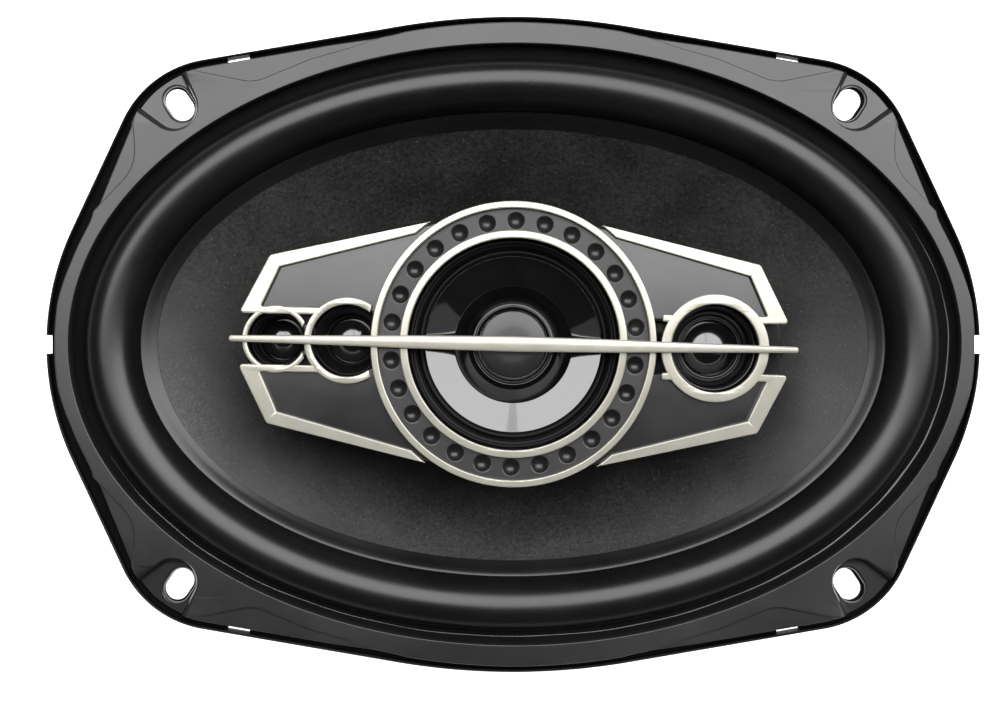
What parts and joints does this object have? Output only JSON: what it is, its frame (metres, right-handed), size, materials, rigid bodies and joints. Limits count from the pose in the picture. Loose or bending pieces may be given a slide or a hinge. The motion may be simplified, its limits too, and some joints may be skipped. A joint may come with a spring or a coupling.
{
  "type": "coaxial car speaker",
  "caption": "Oval coaxial car speaker: pressed basket with slotted lugs, paper cone in a rubber roll, and a winged pod of small drivers under a silver grille bar.",
  "frame": {"origin": "centre of the yoke's flat back face, the lowest face when the speaker lies on its magnet", "axes": "+Z towards the listener, +X along the oval's long side, +Y along its short side with the terminals at -Y"},
  "size_m": [0.235, 0.165, 0.097],
  "materials": {
    "basket_paint": "black powder coat, satin",
    "plated_steel": "bright zinc plate",
    "ferrite": "dark grey, matte",
    "gasket_rubber": "moulded, satin",
    "surround_rubber": "soft matte",
    "cone_paper": "coated pulp with fine flecks",
    "spider_cloth": "resin-treated weave",
    "coil_former": "bare foil",
    "copper": "enamelled or tinned copper",
    "terminal_brass": "bright",
    "board_paper": "phenolic board",
    "pod_plastic": "fine spark texture",
    "wire_sleeve": "insulation",
    "mid_cone_gloss": "high gloss",
    "mid_cap_grey": "matte dark grey",
    "tweeter_dome": "satin film",
    "capacitor_sleeve": "shrink sleeve",
    "trim_silver": "satin champagne silver"
  },
  "bodies": {
    "speaker": {"basket": "basket_paint", "basket_rivet_1": "plated_steel", "basket_rivet_2": "plated_steel", "basket_rivet_3": "plated_steel", "basket_rivet_4": "plated_steel", "capacitor_midrange": "capacitor_sleeve", "capacitor_tweeter": "capacitor_sleeve", "magnet": "ferrite", "mid_frame": "pod_plastic", "mid_magnet": "ferrite", "mid_surround": "surround_rubber", "mid_yoke": "plated_steel", "pod_face": "pod_plastic", "pod_housing": "pod_plastic", "pod_nut": "plated_steel", "pod_post": "pod_plastic", "pod_screw_1": "plated_steel", "pod_screw_2": "plated_steel", "pod_screw_3": "plated_steel", "pod_screw_4": "plated_steel", "pod_trim": "trim_silver", "pod_washer": "plated_steel", "pod_wire_negative": "wire_sleeve", "pod_wire_positive": "wire_sleeve", "spider": "spider_cloth", "super_tweeter_inner_frame": "pod_plastic", "super_tweeter_inner_magnet": "ferrite", "super_tweeter_outer_frame": "pod_plastic", "super_tweeter_outer_magnet": "ferrite", "surround": "surround_rubber", "t_yoke": "plated_steel", "terminal_board": "board_paper", "terminal_negative": "terminal_brass", "terminal_positive": "terminal_brass", "terminal_rivet_1": "plated_steel", "terminal_rivet_2": "plated_steel", "tinsel_lead_negative": "copper", "tinsel_lead_positive": "copper", "top_plate": "plated_steel", "trim_gasket": "gasket_rubber", "tweeter_frame": "pod_plastic", "tweeter_magnet": "ferrite"},
    "woofer_cone": {"cone": "cone_paper", "voice_coil_former": "coil_former", "voice_coil_winding": "copper"},
    "midrange_cone": {"mid_cone": "mid_cone_gloss", "mid_dust_cap": "mid_cap_grey", "mid_voice_coil": "copper"},
    "tweeter_diaphragm": {"tweeter_dome": "tweeter_dome"},
    "super_tweeter_inner_diaphragm": {"super_tweeter_inner_dome": "tweeter_dome"},
    "super_tweeter_outer_diaphragm": {"super_tweeter_outer_dome": "tweeter_dome"}
  },
  "joints": [
    {"name": "woofer_travel", "type": "slide", "parent": "speaker", "child": "woofer_cone", "axis": [0, 0, 1], "range_m": [-0.005, 0.005], "stiffness_N_per_m": 2500, "deforming": ["surround", "spider", "tinsel_lead_positive", "tinsel_lead_negative"]},
    {"name": "midrange_travel", "type": "slide", "parent": "speaker", "child": "midrange_cone", "axis": [0, 0, 1], "range_m": [-0.001, 0.001], "stiffness_N_per_m": 150, "deforming": ["mid_surround"]},
    {"name": "tweeter_travel", "type": "slide", "parent": "speaker", "child": "tweeter_diaphragm", "axis": [0, 0, 1], "range_m": [-0.0003, 0.0003], "stiffness_N_per_m": 8},
    {"name": "super_tweeter_inner_travel", "type": "slide", "parent": "speaker", "child": "super_tweeter_inner_diaphragm", "axis": [0, 0, 1], "range_m": [-0.0003, 0.0003], "stiffness_N_per_m": 6},
    {"name": "super_tweeter_outer_travel", "type": "slide", "parent": "speaker", "child": "super_tweeter_outer_diaphragm", "axis": [0, 0, 1], "range_m": [-0.0003, 0.0003], "stiffness_N_per_m": 5}
  ]
}
